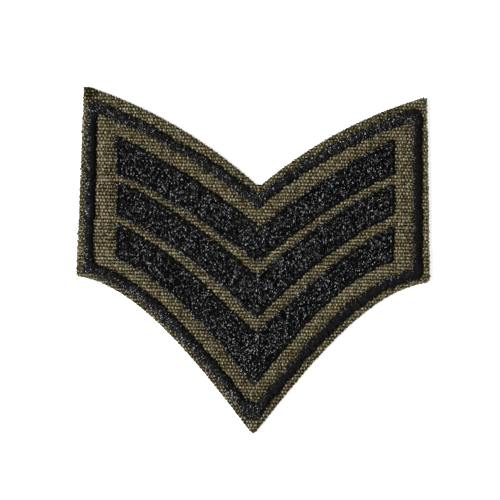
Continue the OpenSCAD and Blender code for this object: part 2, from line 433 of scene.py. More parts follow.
def newMesh(name, points, quads, uv=None, marks=None, material=None):
    # a piece of four-sided faces, with the thread map and the marks that its material reads
    mesh = bpy.data.meshes.new(name)
    mesh.vertices.add(len(points))
    mesh.vertices.foreach_set("co", (np.asarray(points, np.float32) * mm).ravel())
    quads = np.asarray(quads, np.int32)
    mesh.loops.add(quads.size)
    mesh.loops.foreach_set("vertex_index", quads.ravel())
    mesh.polygons.add(len(quads))
    mesh.polygons.foreach_set("loop_start", np.arange(0, quads.size, 4, dtype=np.int32))
    mesh.update(calc_edges=True)
    mesh.polygons.foreach_set("use_smooth", np.ones(len(quads), bool))
    if uv is not None:
        layer = mesh.uv_layers.new(name="threadMap")
        layer.data.foreach_set("uv", np.asarray(uv, np.float32)[quads.ravel()].ravel())
    for mark, values in (marks or {}).items():
        attribute = mesh.attributes.new(mark, "FLOAT", "POINT")
        attribute.data.foreach_set("value", np.asarray(values, np.float32))
    mesh.validate()
    piece = bpy.data.objects.new(name, mesh)
    bpy.context.scene.collection.objects.link(piece)
    if material is not None:
        mesh.materials.append(material)
    print(name, "made:", 2 * len(quads), "triangles")
    return piece


def skinBetween(here, there, size, closed):
    # quads that join neighbouring sections of a yarn or thread, and the points that they use
    ring = np.arange(size if closed else size - 1)
    following = (ring + 1) % size
    here, there = here[:, None] * size, there[:, None] * size
    quads = np.stack([here + ring, here + following, there + following, there + ring], -1)
    used, quads = np.unique(quads.reshape(-1, 4), return_inverse=True)
    return used, quads.reshape(-1, 4)


# Materials, each built from nodes
def startMaterial(name, roughness, gloss):
    material = bpy.data.materials.new(name)
    material.use_nodes = True
    tree = material.node_tree
    shader = tree.nodes["Principled BSDF"]
    shader.inputs["Roughness"].default_value = roughness
    shader.inputs["Specular IOR Level"].default_value = gloss
    return material, tree, shader


def addNode(tree, kind, settings=None, **inputs):
    node = tree.nodes.new(kind)
    for key, value in (settings or {}).items():
        setattr(node, key, value)
    for key, value in inputs.items():
        # in0, in1 and so on are sockets by number, and any other key is a socket's name
        numbered = key.startswith("in") and key[2:].isdigit()
        socket = node.inputs[int(key[2:]) if numbered else key.replace("_", " ")]
        if isinstance(value, bpy.types.NodeSocket):
            tree.links.new(value, socket)
        else:
            socket.default_value = value
    return node


def mathNode(tree, operation, first, second=0.0, third=0.0):
    node = addNode(tree, "ShaderNodeMath", {"operation": operation}, in0=first, in1=second, in2=third)
    return node.outputs[0]


def placeNode(tree):
    return addNode(tree, "ShaderNodeTexCoord").outputs["Object"]


def markNode(tree, mark):
    return addNode(tree, "ShaderNodeAttribute", {"attribute_name": mark}).outputs["Fac"]


def splitNode(tree, vector):
    return addNode(tree, "ShaderNodeSeparateXYZ", Vector=vector).outputs


def threadMapNode(tree):
    # how far along its thread a point is, and how far round it
    return splitNode(tree, addNode(tree, "ShaderNodeUVMap", {"uv_map": "threadMap"}).outputs[0])[:2]


def noiseNode(tree, place, scale, detail=3.0, roughness=0.6):
    node = addNode(tree, "ShaderNodeTexNoise", Vector=place, Scale=scale, Detail=detail, Roughness=roughness)
    return node.outputs["Fac"]


def cellNode(tree, place, scale, dimensions):
    # one even value for each cell of a pattern of cells
    settings = {"voronoi_dimensions": dimensions}
    cells = addNode(tree, "ShaderNodeTexVoronoi", settings, Vector=place, Scale=scale)
    return addNode(tree, "ShaderNodeSeparateColor", Color=cells.outputs["Color"]).outputs[0]


def rampNode(tree, factor, stops):
    node = tree.nodes.new("ShaderNodeValToRGB")
    while len(node.color_ramp.elements) < len(stops):
        node.color_ramp.elements.new(0.5)
    for element, (position, colour) in zip(node.color_ramp.elements, stops):
        element.position = position
        element.color = (*colour, 1)
    tree.links.new(factor, node.inputs[0])
    return node.outputs[0]


def addRelief(tree, shader, height, relief):
    strength, depth = relief["strength"], relief["depth"]
    bump = addNode(tree, "ShaderNodeBump", Strength=strength, Distance=depth, Height=height)
    tree.links.new(bump.outputs[0], shader.inputs["Normal"])


# Spacing of the canvas's yarns: warp side by side, weft one above another
yarnPitch = {"warp": 0.42, "weft": 0.85}

canvasLook = {
    "shadeStops": [
        (0.0, (0.005, 0.0038, 0.0004)),
        (0.3, (0.033, 0.027, 0.0078)),
        (0.6, (0.106, 0.093, 0.051)),
        (0.85, (0.215, 0.197, 0.142)),
        (1.0, (0.40, 0.37, 0.29)),
    ],
    "brownToGreen": [(0.38, (1.0, 0.88, 0.78)), (0.62, (0.92, 0.96, 0.8))],
    "patchScale": 360.0,
    "mottle": 0.6,
    "mottleScale": 2100.0,
    "speckle": 0.7,
    "speckleSize": 0.19,
    "yarnSideShade": 0.42,
    "twist": {"along": 14.0, "round": 5.0, "height": 0.35},
    "fibreScale": 6000.0,
    "relief": {"strength": 0.5, "depth": 0.00006},
    "roughness": 0.9,
    "gloss": 0.06,
}


def canvasMaterial():
    # olive yarn: shade varies at random from yarn to yarn and along it, is painted darker towards each
    # yarn's sides as painted shade, and has a fibre twist
    look, twist = canvasLook, canvasLook["twist"]
    material, tree, shader = startMaterial("oliveYarn", look["roughness"], look["gloss"])
    place = placeNode(tree)
    along, around = threadMapNode(tree)
    mottle = mathNode(tree, "SUBTRACT", noiseNode(tree, place, look["mottleScale"]), 0.5)
    speck = cellNode(tree, place, 1 / (look["speckleSize"] * mm), "3D")
    speck = mathNode(tree, "SUBTRACT", speck, 0.5)
    # painted shade: the colour darkens towards the yarn's sides, away from its lit top
    edge = mathNode(tree, "MULTIPLY", around, around)
    shade = mathNode(tree, "MULTIPLY_ADD", mottle, look["mottle"], markNode(tree, "tone"))
    shade = mathNode(tree, "MULTIPLY_ADD", speck, look["speckle"], shade)
    shade = mathNode(tree, "MULTIPLY_ADD", edge, -look["yarnSideShade"], shade)
    olive = rampNode(tree, shade, look["shadeStops"])
    cast = rampNode(tree, noiseNode(tree, place, look["patchScale"]), look["brownToGreen"])
    settings = {"data_type": "RGBA", "blend_type": "MULTIPLY"}
    colour = addNode(tree, "ShaderNodeMix", settings, in0=1.0, in6=olive, in7=cast).outputs[2]
    tree.links.new(colour, shader.inputs["Base Color"])
    slant = mathNode(tree, "MULTIPLY", around, twist["round"])
    slant = mathNode(tree, "MULTIPLY_ADD", along, twist["along"], slant)
    fibre = noiseNode(tree, place, look["fibreScale"], detail=2.0, roughness=0.5)
    height = mathNode(tree, "MULTIPLY_ADD", mathNode(tree, "SINE", slant), twist["height"], fibre)
    addRelief(tree, shader, height, look["relief"])
    return material


clothLook = {
    # painted shade: darker than the yarns' own olive, for the shaded gaps between them
    "shadeStops": [
        (0.15, (0.012, 0.009, 0.002)),
        (0.55, (0.045, 0.037, 0.014)),
        (0.9, (0.11, 0.096, 0.055)),
    ],
    "weave": 0.45,
    "mottle": 0.55,
    "mottleScale": 900.0,
    "mottleHeight": 0.3,
    "relief": {"strength": 0.9, "depth": 0.00022},
    "roughness": 0.9,
    "gloss": 0.05,
}


def clothMaterial():
    # the cloth beneath and behind the yarns: a darker olive, as painted shade in the gaps between the yarns,
    # with the weave as relief and in its colour
    look = clothLook
    material, tree, shader = startMaterial("oliveCloth", look["roughness"], look["gloss"])
    place = placeNode(tree)
    x, y = splitNode(tree, place)[:2]
    across = mathNode(tree, "MULTIPLY", x, math.pi / (yarnPitch["warp"] * mm))
    down = mathNode(tree, "MULTIPLY", y, math.pi / (yarnPitch["weft"] * mm))
    check = mathNode(tree, "MULTIPLY", mathNode(tree, "SINE", across), mathNode(tree, "SINE", down))
    weave = mathNode(tree, "MULTIPLY_ADD", check, 0.5, 0.5)
    mottle = noiseNode(tree, place, look["mottleScale"])
    shade = mathNode(tree, "MULTIPLY", mottle, look["mottle"])
    shade = mathNode(tree, "MULTIPLY_ADD", weave, look["weave"], shade)
    tree.links.new(rampNode(tree, shade, look["shadeStops"]), shader.inputs["Base Color"])
    height = mathNode(tree, "MULTIPLY_ADD", mottle, look["mottleHeight"], weave)
    addRelief(tree, shader, height, look["relief"])
    return material


threadLook = {
    # the same black thread: a lighter base on the border and edgings and a darker one in the fill, as
    # painted light and shade
    "border": {"shade": (0.0112, 0.0113, 0.0113), "fibreScale": 5200.0},
    "fill": {"shade": (0.0036, 0.0038, 0.0044), "fibreScale": 4600.0},
    "edging": {"shade": (0.0085, 0.0086, 0.0086), "fibreScale": 5600.0},
    # painted highlight: the colour that the glints are painted in
    "light": (0.64, 0.64, 0.65),
    "cellLength": 0.25,
    "cellTurn": 0.85,
    "sparkle": 21.0,
    "plyPitch": 1.1,
    "plySlant": 3.2,
    "fibreHeight": 0.8,
    "relief": {"strength": 1.0, "depth": 0.0001},
    "roughness": 0.34,
    "gloss": 0.012,
}


def threadMaterial(use):
    # black embroidery thread: two twisted plies, with glints painted into its colour as painted highlights
    look = threadLook
    material, tree, shader = startMaterial(use + "Thread", look["roughness"], look["gloss"])
    along, around = threadMapNode(tree)
    cell = addNode(
        tree,
        "ShaderNodeCombineXYZ",
        in0=mathNode(tree, "MULTIPLY", along, 1 / look["cellLength"]),
        in1=mathNode(tree, "MULTIPLY", around, 1 / look["cellTurn"]),
    )
    # painted highlight: the glint mark lightens the base colour in short cells
    lit = cellNode(tree, cell.outputs[0], 1.0, "2D")
    lit = mathNode(tree, "POWER", lit, look["sparkle"])
    shine = mathNode(tree, "MULTIPLY", markNode(tree, "glint"), lit)
    colour = rampNode(tree, shine, [(0.0, look[use]["shade"]), (1.0, look["light"])])
    tree.links.new(colour, shader.inputs["Base Color"])
    slant = mathNode(tree, "MULTIPLY", around, look["plySlant"])
    slant = mathNode(tree, "MULTIPLY_ADD", along, 2 * math.pi / look["plyPitch"], slant)
    ply = mathNode(tree, "ABSOLUTE", mathNode(tree, "SINE", slant))
    fibre = noiseNode(tree, placeNode(tree), look[use]["fibreScale"], detail=2.0)
    height = mathNode(tree, "ADD", ply, mathNode(tree, "MULTIPLY", fibre, look["fibreHeight"]))
    addRelief(tree, shader, height, look["relief"])
    return material


oliveYarn = canvasMaterial()
oliveCloth = clothMaterial()
borderThread = threadMaterial("border")
fillThread = threadMaterial("fill")
edgingThread = threadMaterial("edging")
print("materials made")


# The cloth itself: face, fold and hem in one skin
groundCloth = {
    "underYarns": 0.66,  # how far it lies below the woven face
    "underFold": 0.34,  # and inside the fold
    "lowFold": -60,  # degrees round the fold, below which it keeps its full radius
    "foldSegments": 8,
    "armSegments": 40,
    "middleInset": 6.0,
    "faceInset": 3.0,
    "hemInset": 4.0,
    "hemEdge": [
        # past the hem's width, height
        [-0.15, 0.0],
        [0.0, 0.2],
        [0.0, 0.9],
        [-0.2, 1.0],
    ],
}


def clothSection():
    # inset and height, from the middle of the face over the fold and the hem to the inside of the face
    look, radius, canvas = groundCloth, layers["foldRadius"], layers["canvas"]
    face = layers["faceTop"] - look["underYarns"]
    section = [(look["middleInset"], face), (look["faceInset"], face)]
    sunk = radius - look["underFold"]
    for angle in np.linspace(90, -90, look["foldSegments"] + 1):
        bend = math.radians(angle)
        # the lowest part of the fold keeps its full radius, so that it rests on the floor
        level = radius + (sunk if angle > look["lowFold"] else radius) * math.sin(bend)
        section.append((radius - sunk * math.cos(bend), level))
    section.append((look["hemInset"], 0.0))
    section += [(layers["hemWidth"] + past, height) for past, height in look["hemEdge"]]
    inside = canvas + layers["foldGap"]
    return section + [(canvas, canvas), (canvas, inside), (look["middleInset"], inside)]


def makeGroundCloth():
    section = clothSection()
    loops = [clothOutline(inset, groundCloth["armSegments"])[0] - boxMiddle for inset, height in section]
    size = len(loops[0])
    points = [np.column_stack([loop, np.full(size, level)]) for loop, (inset, level) in zip(loops, section)]
    starts = np.arange(len(section)) * size
    i = np.arange(size)
    k = (i + 1) % size
    quads = [np.column_stack([a + i, b + i, b + k, a + k]) for a, b in zip(starts, starts[1:])]
    # rungs from side to side close the face, outside and inside
    i = np.arange(size // 2 - 1)
    rungs = np.column_stack([i, i + 1, size - 2 - i, size - 1 - i])
    quads += [rungs, starts[-1] + rungs[:, ::-1]]
    return newMesh("groundCloth", np.vstack(points), np.vstack(quads), material=oliveCloth)


clothPiece = makeGroundCloth()


# The woven yarns that show: warp runs from the point to the notch, weft from side to side
canvasWeave = {
    "warp": {
        "halfWidth": 0.22,
        "swell": 0.08,
        "halfHeight": 0.2,
        "rise": 0.17,
        "tone": 0.425,
        "crestTone": 0.64,
        "crestPeak": 7.5,
        "seed": 11,
    },
    "weft": {
        "halfWidth": 0.3,
        "swell": 0.02,
        "halfHeight": 0.16,
        "rise": 0.07,
        "tone": 0.5,
        "crestTone": 0.14,
        "crestPeak": 2.0,
        "seed": 12,
    },
    "section": [-88.0, -32.0, 32.0, 88.0],  # degrees round a yarn's upper side
    "samples": 4,  # from one crossing to the next
    "phases": 6.28,
    "warpLean": -0.012,
    "wander": {"size": 0.04, "slow": 0.9, "quick": 2.3, "quickShare": 0.7, "offset": 0.02},
    "thickness": {"wave": 0.1, "waveRate": 0.37, "spread": 0.06, "floatSpread": 0.1},
    "height": {"peak": 0.35, "spread": 0.02, "floatSpread": 0.035},
    "floatShift": 0.035,
    "yarnTone": {"spread": 0.06, "wave": 0.04, "waveRate": 0.21},
    "floatTone": {"spread": 0.11, "sampleSpread": 0.08},
    "slopeTone": {"size": 0.08, "reach": 0.3},
    # painted shade darkening the cloth at the upper left corner
    "bunched": {"x": -42.0, "y": 41.6, "reach": 2.2, "tone": -0.36},  # the dark upper left corner
    "rimTone": {"left": 0.06, "right": 0.13, "reach": 0.9, "from": 32.0, "over": 8.0},
    "sunk": 0.3,
    "sunkOnFold": 0.12,
    "hidden": 0.5,  # how far yarns run on under the stitching
    "lapUnder": 0.8,  # and past the fold on the back
}


def yarnCourses(rng, kind):
    # for every yarn: distance along it, its phase, its place across, its wave over and under the others,
    # and a way to draw one value for each float
    other = "weft" if kind == "warp" else "warp"
    reach = {"warp": fieldGrid["halfWidth"], "weft": fieldGrid["halfHeight"]}
    samples, wander = canvasWeave["samples"], canvasWeave["wander"]
    count = int(reach[kind] / yarnPitch[kind])
    yarn = np.arange(-count, count + 1)[:, None]
    lastStep = int(reach[other] / yarnPitch[other]) * samples
    steps = np.arange(-lastStep, lastStep + 1)
    along = (steps * yarnPitch[other] / samples)[None, :]
    phase = rng.uniform(0, canvasWeave["phases"], yarn.shape)
    quick = wander["quickShare"] * np.sin(wander["quick"] * along + 2 * phase)
    drift = np.sin(wander["slow"] * along + phase) + quick
    across = yarn * yarnPitch[kind] + wander["size"] * drift + rng.normal(0, wander["offset"], yarn.shape)
    wave = np.cos(math.pi * along / yarnPitch[other] + math.pi * yarn) * (1 if kind == "warp" else -1)
    crossing = np.floor(steps / samples + 0.5).astype(int)
    crossing = crossing - crossing.min()

    def perFloat(spread):
        return rng.normal(0, spread, (len(yarn), crossing.max() + 1))[:, crossing]

    across = across + perFloat(canvasWeave["floatShift"]) * np.clip(wave, 0, 1)
    return along, phase, across, wave, perFloat


def yarnTones(rng, look, along, phase, wave, centre, perFloat):
    # lighter and darker yarns and floats at random, with painted light and shade: crests painted lighter,
    # shade painted where the cloth slopes away from the lamp and at the upper left corner, and light painted
    # on the side rims
    ownTone, spreads, slope = canvasWeave["yarnTone"], canvasWeave["floatTone"], canvasWeave["slopeTone"]
    bunched, rim = canvasWeave["bunched"], canvasWeave["rimTone"]
    x, y = centre[..., 0], centre[..., 1]
    gentle = ownTone["wave"] * np.sin(ownTone["waveRate"] * along + phase)
    yarnTone = rng.normal(0, ownTone["spread"], phase.shape) + gentle
    # painted light and shade: each yarn is lighter where it crests over the others and darker where it dips
    # under them
    crest = ((1 + wave) / 2) ** look["crestPeak"]
    # painted light and shade: yarns lighter where the cloth rises towards the lamp on the left, darker where
    # it falls away beside the stitching
    step = np.array([slope["reach"], 0.0])
    rising = (clothLift(centre + step) - clothLift(centre - step)) / (2 * slope["reach"])
    floatTone = perFloat(spreads["spread"]) + rng.normal(0, spreads["sampleSpread"], wave.shape)
    floatTone = floatTone + slope["size"] * rising
    # painted shade: the cloth darkened round the upper left corner
    away = np.hypot(x - bunched["x"], y - bunched["y"]) / bunched["reach"]
    floatTone = floatTone + bunched["tone"] * np.exp(-(away**4))
    # painted light: yarns on the turned edge made lighter towards the left and right sides of the patch
    rimShare = np.exp(-((np.maximum(lookUp(clothField, centre), 0) / rim["reach"]) ** 2))
    toRight = np.clip((x - rim["from"]) / rim["over"], 0, 1)
    toLeft = np.clip((-x - rim["from"]) / rim["over"], 0, 1)
    floatTone = floatTone + rimShare * (rim["right"] * toRight + rim["left"] * toLeft)
    return look["tone"] + yarnTone + floatTone + look["crestTone"] * crest


def isShown(centre):
    # yarns are made on the face and round the fold, and end under the stitching that hides them
    foldLength = (math.pi - 1) * layers["foldRadius"]
    onCloth = lookUp(clothField, centre) > -(foldLength + canvasWeave["lapUnder"])
    return onCloth & (lookUp(stitchedField, centre) < canvasWeave["hidden"])


def weaveYarns(name, kind):
    look, thickness, height = canvasWeave[kind], canvasWeave["thickness"], canvasWeave["height"]
    rng = np.random.default_rng(look["seed"])
    along, phase, across, wave, perFloat = yarnCourses(rng, kind)
    thick = 1 + thickness["wave"] * np.sin(thickness["waveRate"] * along + 3 * phase)
    thick = thick + rng.normal(0, thickness["spread"], across.shape) + perFloat(thickness["floatSpread"])
    peaked = wave * (1 - height["peak"] + height["peak"] * np.abs(wave))
    lift = look["rise"] * peaked + rng.normal(0, height["spread"], across.shape)
    lift = lift + perFloat(height["floatSpread"])
    along = np.broadcast_to(along, across.shape)
    if kind == "warp":
        centre = np.stack([across + canvasWeave["warpLean"] * along, along], -1)
        sideways = np.array([1.0, 0.0])
    else:
        centre = np.stack([along, across], -1)
        sideways = np.array([0.0, 1.0])
    shown = isShown(centre)
    section = np.radians(canvasWeave["section"])
    width = look["halfWidth"] * thick[shown] + look["swell"] * wave[shown]
    flat = centre[shown][:, None, :] + sideways * (width[:, None] * np.sin(section)[None, :])[..., None]
    inland = np.clip(lookUp(clothField, centre)[shown] / layers["foldRadius"], 0, 1)
    sunk = canvasWeave["sunkOnFold"] + (canvasWeave["sunk"] - canvasWeave["sunkOnFold"]) * inland
    high = (lift[shown] - sunk)[:, None] + look["halfHeight"] * np.cos(section)[None, :]
    points, good = foldedPoints(flat, high)
    index = np.full(shown.shape, -1)
    index[shown] = np.arange(len(points))
    usable = np.zeros(shown.shape, bool)
    usable[shown] = good.all(1)
    linked = usable[:, :-1] & usable[:, 1:]
    used, quads = skinBetween(index[:, :-1][linked], index[:, 1:][linked], len(section), closed=False)
    if kind == "weft":
        quads = quads[:, ::-1]
    tone = yarnTones(rng, look, along, phase, wave, centre, perFloat)
    tone = np.repeat(tone[shown][:, None], len(section), 1)
    length = (along + 3 * phase)[shown][:, None]
    uv = np.stack(np.broadcast_arrays(length, section), -1)
    marks = {"tone": tone.ravel()[used]}
    return newMesh(name, points.reshape(-1, 3)[used], quads, uv.reshape(-1, 2)[used], marks, oliveYarn)


warpPiece = weaveYarns("clothWarp", "warp")
weftPiece = weaveYarns("clothWeft", "weft")

# Embroidery thread: its section, flat underneath, and how unevenly its painted glints are spread
threadShape = {"section": [-90.0, -45.0, 0.0, 45.0, 90.0], "anyStart": 300}
threadGlint = {"level": 1.6, "spread": 0.4, "stitchSpread": 0.3, "brightest": 5}


def threadTubes(name, path, across, up, halfWidth, halfHeight, glint, startUv, material, linked=None):
    # stitches as closed threads, each point of whose path is a section: path is [stitch, sample, xyz]
    stitches, samples = path.shape[:2]
    section = np.radians(threadShape["section"])
    size = len(section)
    width = halfWidth[..., None] * np.sin(section)
    height = halfHeight[..., None] * np.cos(section)
    points = path[:, :, None, :] + across[..., None, :] * width[..., None]
    points = points + up[..., None, :] * height[..., None]
    index = np.arange(stitches * samples).reshape(stitches, samples)
    if linked is None:
        linked = np.ones((stitches, samples - 1), bool)
    used, quads = skinBetween(index[:, :-1][linked], index[:, 1:][linked], size, closed=True)
    steps = np.linalg.norm(np.diff(path, axis=1), axis=-1)
    length = startUv[:, None] + np.concatenate([np.zeros((stitches, 1)), np.cumsum(steps, 1)], 1)
    uv = np.stack(np.broadcast_arrays(length[..., None], section), -1)
    marks = {"glint": np.repeat(glint[..., None], size, -1).ravel()[used]}
    return newMesh(name, points.reshape(-1, 3)[used], quads, uv.reshape(-1, 2)[used], marks, material)


def threadGlints(rng, shape):
    # painted highlights: most of a thread keeps its dark base colour, and short stretches of it are painted
    # lighter as glints
    wholeStitch = rng.normal(0, threadGlint["stitchSpread"], (shape[0], 1))
    glints = threadGlint["level"] * np.exp(rng.normal(0, threadGlint["spread"], shape) + wholeStitch)
    return np.clip(glints, 0, threadGlint["brightest"])


def unitTangents(path):
    tangent = np.gradient(path, axis=1)
    return tangent / np.linalg.norm(tangent, axis=-1, keepdims=True)


# Satin stitching: stitches laid side by side across a band, square to it but fanned out round its corners
cornerFan = {"reach": 3.0, "fullTurn": 40.0}


def walkPairs(outer, inner, spacing):
    # pairs of points on the outer and inner line of a band, evenly spaced all the way round:
    # square across it, and fanned out from the mitre at each corner
    lines = [np.vstack([line, line[:1]]) for line in ((outer + inner) / 2, outer, inner)]
    run = np.concatenate([[0], np.cumsum(np.linalg.norm(np.diff(lines[0], axis=0), axis=1))])
    count = int(run[-1] / spacing)
    at = np.arange(count) * run[-1] / count
    walked, *mitred = [
        np.stack([np.interp(at, run, line[:, 0]), np.interp(at, run, line[:, 1])], 1) for line in lines
    ]
    reach = int(cornerFan["reach"] / spacing)
    before = walked - np.roll(walked, reach, 0)
    after = np.roll(walked, -reach, 0) - walked
    turn = np.arctan2(before[:, 1], before[:, 0]) - np.arctan2(after[:, 1], after[:, 0])
    turn = (turn + math.pi) % (2 * math.pi) - math.pi
    fan = np.clip(np.abs(turn) / math.radians(cornerFan["fullTurn"]), 0, 1)[:, None]
    squared = [nearestOnLoop(walked, line)[1] for line in (outer, inner)]
    return [fan * near + (1 - fan) * foot for near, foot in zip(mitred, squared)]


def slowNoise(rng, count, columns, group):
    # noise that changes gently, over groups of neighbouring stitches, all the way round
    knots = rng.normal(0, 1, (max(count // group, 2), columns))
    knots = np.vstack([knots, knots[:1]])
    at = np.linspace(0, len(knots) - 1, count, endpoint=False)
    return np.stack([np.interp(at, np.arange(len(knots)), knots[:, i]) for i in range(columns)], 1)


# What the border and the edgings have in common
satinThread = {
    "evenRaggedness": 0.6,
    "driftGroup": 4,
    "tuckOnset": 1.5,
    "crowding": 0.3,
    "footDip": 0.12,
    "footReach": 0.03,
    "widthSpread": 0.08,
    "heightSpread": 0.1,
    # painted shade towards the lower right of the band and towards each stitch's inner foot
    "lowerRight": (0.67, -0.74),
    "shadeToLowerRight": 0.85,
    "dullFrom": 0.4,
    "dullOver": 0.25,
    "brightest": 2.6,
}


def satinFeet(rng, lines, look):
    # where each stitch enters the cloth on both sides of the band, and the ways along and beside it
    outer, inner = walkPairs(*lines, look["spacing"])
    count = len(outer)
    direction = inner - outer
    direction = direction / np.linalg.norm(direction, axis=1, keepdims=True)
    sideways = np.stack([-direction[:, 1], direction[:, 0]], 1)
    slide = rng.normal(0, look["slide"], (count, 2, 1))
    edgeDrift = look["edgeDrift"] * slowNoise(rng, count, 2, satinThread["driftGroup"])
    raggedness = look["raggedness"] * (satinThread["evenRaggedness"] + direction[:, 1:] ** 2)
    toRight = -direction[:, :1]
    onset = satinThread["tuckOnset"]
    tuck = look["tuck"] + look["rightTuck"] * np.clip(toRight, 0, 1) ** onset
    tuck = tuck + raggedness * rng.normal(0, 1, (count, 1)) + edgeDrift[:, :1]
    outer = outer + direction * tuck + sideways * slide[:, 0]
    tuck = look["innerTuck"] + look["leftTuck"] * np.clip(-toRight, 0, 1) ** onset
    tuck = tuck + raggedness * rng.normal(0, 1, (count, 1)) + edgeDrift[:, 1:]
    inner = inner - direction * tuck + sideways * slide[:, 1]
    return outer, inner, direction, sideways


def crownHeight(t, fullness):
    # raised stitching seen across its width, from 0 at one foot to 1 at the other
    return np.power(np.clip(1 - (2 * t - 1) ** 2, 0, 1), fullness)


def satinPaths(rng, outer, inner, sideways, look):
    # each stitch arches from foot to foot, with its samples closer together near them
    count = len(outer)
    t = np.linspace(0, 1, look["samples"])
    crowding = 1 - satinThread["crowding"] + satinThread["crowding"] * np.abs(np.cos(math.pi * t))
    t = 0.5 - 0.5 * np.cos(math.pi * t) * crowding
    rise = look["height"] * (1 + rng.normal(0, look["unevenness"], (count, 1)))
    skew = rng.normal(0, look["skew"], (count, 1))
    shaped = np.clip(t[None, :] + skew * t * (1 - t), 0, 1)
    footDip = satinThread["footDip"] * np.exp(-((np.minimum(t, 1 - t) / satinThread["footReach"]) ** 2))
    level = layers["stitchFoot"] + rise * crownHeight(shaped, look["fullness"]) - footDip
    plan = outer[:, None, :] * (1 - t)[None, :, None] + inner[:, None, :] * t[None, :, None]
    bow = rng.normal(0, look["bow"], (count, 1)) * np.sin(math.pi * t)[None, :]
    plan = plan + sideways[:, None, :] * bow[..., None]
    return np.concatenate([plan, level[..., None]], -1), t


def satinLight(glints, direction, up, t, look):
    # painted light and shade, for a lamp on the left: stitches that cross its light get painted glints on
    # top, others where they face left; glints are painted out where stitches face right, towards the lower
    # right and near the inner foot
    toRight = -direction[:, :1]
    toLowerRight = np.clip(-direction @ np.array(satinThread["lowerRight"]), 0, 1)[:, None]
    crosswise = direction[:, 1:] ** 2
    clear = 1 - satinThread["shadeToLowerRight"] * toLowerRight**2
    crest = look["crestGlint"] * crosswise * clear
    shaded = look["shadedGlint"] * crosswise * clear
    faced = up[..., 0] + look["lateLit"] * np.clip(toRight, 0, 1)
    facing = look["leastGlint"] + crest - look["shadedSide"] * faced
    inside = np.clip((t - satinThread["dullFrom"]) / satinThread["dullOver"], 0, 1)
    dullInside = 1 - look["dullInside"] * inside
    return glints * np.clip(facing, shaded, satinThread["brightest"]) * dullInside


def satinStitches(name, lines, look, material):
    rng = np.random.default_rng(look["seed"])
    outer, inner, direction, sideways = satinFeet(rng, lines, look)
    path, t = satinPaths(rng, outer, inner, sideways, look)
    count, shape = len(path), path.shape[:2]
    across = np.zeros(path.shape)
    across[..., :2] = sideways[:, None, :]
    up = np.cross(unitTangents(path), across)
    up *= np.where(up[..., 2:] < 0, -1, 1)
    widths = 1 + rng.normal(0, satinThread["widthSpread"], (count, 1))
    heights = 1 + rng.normal(0, satinThread["heightSpread"], (count, 1))
    halfWidth = look["halfWidth"] * widths * np.ones(shape)
    halfHeight = look["halfHeight"] * heights * np.ones(shape)
    startUv = rng.uniform(0, threadShape["anyStart"], count)
    glint = satinLight(threadGlints(rng, shape), direction, up, t, look)
    return threadTubes(name, path, across, up, halfWidth, halfHeight, glint, startUv, material)


borderSatin = {
    "spacing": 0.36,
    "samples": 12,
    "height": 0.86,
    "fullness": 0.55,
    "halfWidth": 0.2,
    "halfHeight": 0.17,
    "tuck": 0.12,
    "innerTuck": 0.12,
    "rightTuck": 0.42,  # added on the right side's outer edge
    "leftTuck": 0.2,  # and on the left side's inner edge
    "raggedness": 0.15,
    "edgeDrift": 0.13,
    "slide": 0.05,
    "bow": 0.02,
    "skew": 0.02,
    "unevenness": 0.025,
    # painted glints and painted shade on each side of the band
    "leastGlint": 0.26,
    "crestGlint": 0.45,
    "lateLit": 0.42,
    "shadedSide": 1.9,
    "shadedGlint": 0.5,
    "dullInside": 0.0,
    "seed": 21,
}
borderPiece = satinStitches("borderSatin", borderLines, borderSatin, borderThread)

edgingSatin = {
    "spacing": 0.38,
    "samples": 7,
    "height": 0.66,
    "fullness": 0.5,
    "halfWidth": 0.2,
    "halfHeight": 0.15,
    "tuck": 0.2,
    "innerTuck": 0.0,
    "rightTuck": 0.0,
    "leftTuck": 0.0,
    "raggedness": 0.14,
    "edgeDrift": 0.1,
    "slide": 0.06,
    "bow": 0.02,
    "skew": 0.03,
    "unevenness": 0.04,
    # painted glints and painted shade on each side of the band
    "leastGlint": 0.2,
    "crestGlint": 0.8,
    "lateLit": 0.0,
    "shadedSide": 3.0,
    "shadedGlint": 0.2,
    "dullInside": 0.6,
    "seed": 31,
}
edgingPieces = []
for order, chevron in enumerate(chevronNames):
    look = dict(edgingSatin, seed=edgingSatin["seed"] + order)
    edgingPieces.append(satinStitches(chevron + "Edging", edgingLines[order], look, edgingThread))

# Filled stitching: rows of thread that run up and down, each row's stitches set off from its neighbours'
chevronFill = {
    "rowSpacing": 0.4,
    "rowOffset": 0.37,
    "offsetSpread": 0.09,
    "rowShift": 0.025,
    "lean": 0.1,
    "sample": 0.22,
    "stitchLength": 2.7,
    "tuck": 0.85,
    "footShare": 0.5,
    "footReach": 0.5,
    "height": 0.66,
    "halfWidth": 0.19,
    "halfHeight": 0.2,
    "thicknessSpread": 0.09,
    "jitter": 0.022,
    "dip": 0.22,
    "dipReach": 0.28,
    "arch": 0.09,
    "archSpread": 0.4,
    "tilt": 0.06,
    "unevenness": 0.035,
    "wander": 0.05,
    "stitchGlint": 0.35,
    "seed": 41,
}


def rowsAcross(rng, loop):
    # the chevron's rows: where each one starts, the heights of its samples, and the stitch that each is in
    look = chevronFill
    low, high = loop.min(0), loop.max(0)
    leaned = look["lean"] * (high[1] - low[1])
    rowCount = int((high[0] - low[0] + leaned) / look["rowSpacing"]) + 2
    startX = low[0] - leaned / 2 + np.arange(rowCount) * look["rowSpacing"]
    y = np.arange(low[1], high[1], look["sample"])
    offset = np.arange(rowCount) * look["rowOffset"] % 1.0 + rng.normal(0, look["offsetSpread"], rowCount)
    place = (y[None, :] + offset[:, None] * look["stitchLength"]) / look["stitchLength"]
    stitch = np.floor(place).astype(int)
    return startX[:, None], y[None, :], stitch - stitch.min(), place - stitch


